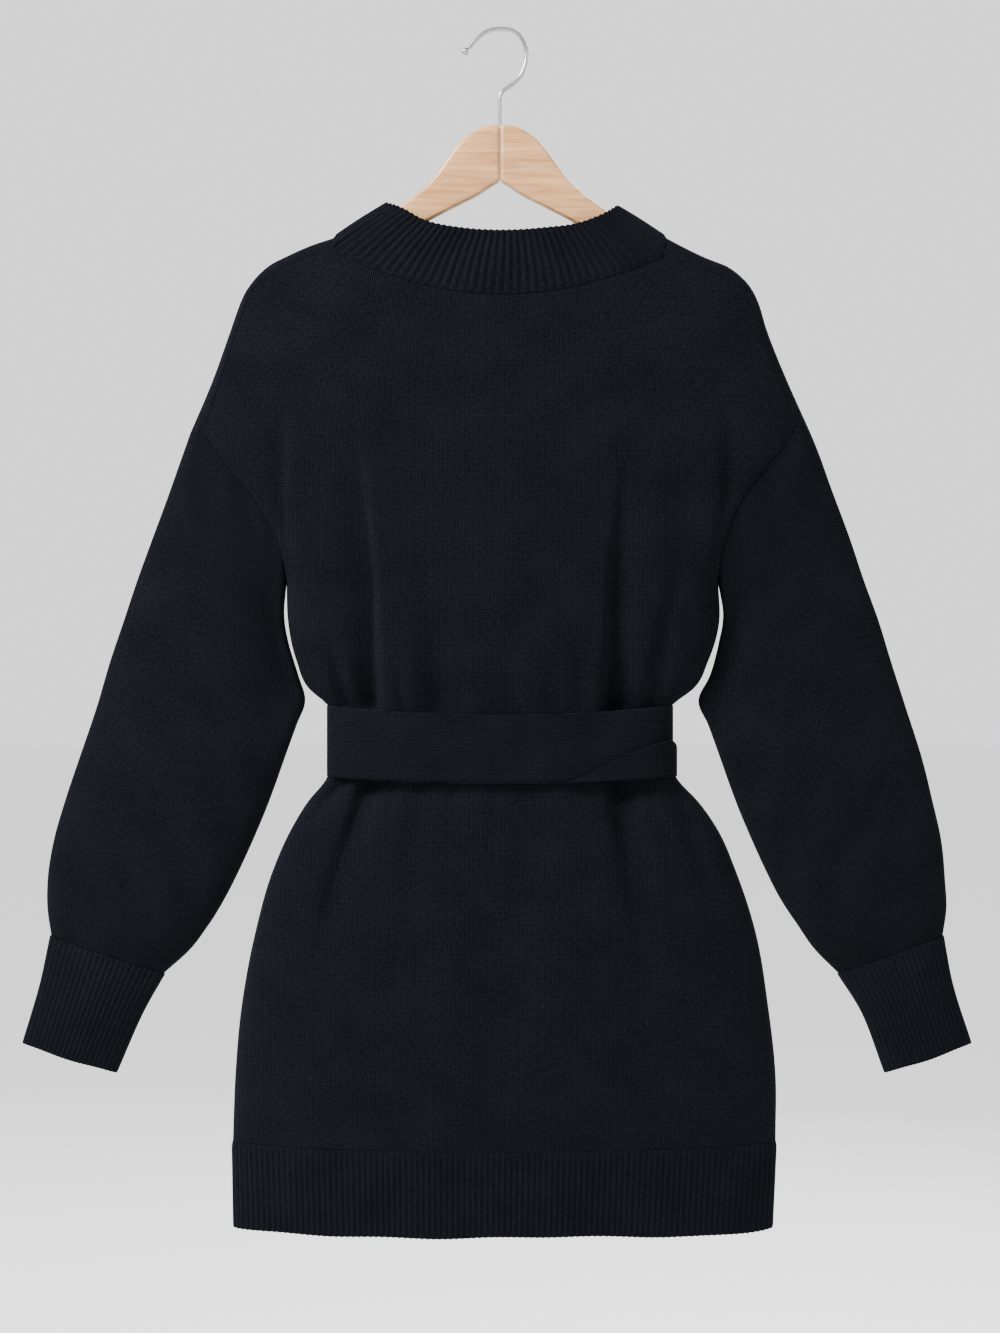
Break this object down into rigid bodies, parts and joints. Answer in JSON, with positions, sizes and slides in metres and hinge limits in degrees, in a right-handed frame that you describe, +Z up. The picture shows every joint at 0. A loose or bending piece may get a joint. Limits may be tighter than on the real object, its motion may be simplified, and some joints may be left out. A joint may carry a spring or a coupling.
{
  "type": "knitted dress on a wooden hanger",
  "caption": "Dark knitted long-sleeve mini dress with a funnel neck, ribbed cuffs and hem and a knitted belt, hanging on a wooden hanger.",
  "frame": {"origin": "inner top of the hanger's hook, where a rail carries it", "axes": "+Z up; +X to the viewer's right when looking at the side that shows in the picture, the dress's back, which faces -Y"},
  "size_m": [0.7771, 0.0767, 0.9915],
  "materials": {
    "knit": "plain wool jersey knit, matte",
    "rib": "ribbed wool knit, matte",
    "belt_knit": "fine knit, matte",
    "wood": "clear-lacquered light wood",
    "steel": "polished wire"
  },
  "bodies": {
    "root": {"back_panel": "knit", "front_panel": "knit", "sleeve_left": "knit", "sleeve_right": "knit", "cuff_left": "rib", "cuff_right": "rib", "neck_rib": "rib", "hem_rib": "rib", "belt": "belt_knit", "belt_turn": "belt_knit", "belt_lap": "belt_knit", "hanger_arm_left": "wood", "hanger_arm_right": "wood", "hook": "steel", "hook_tip": "steel"}
  },
  "joints": []
}
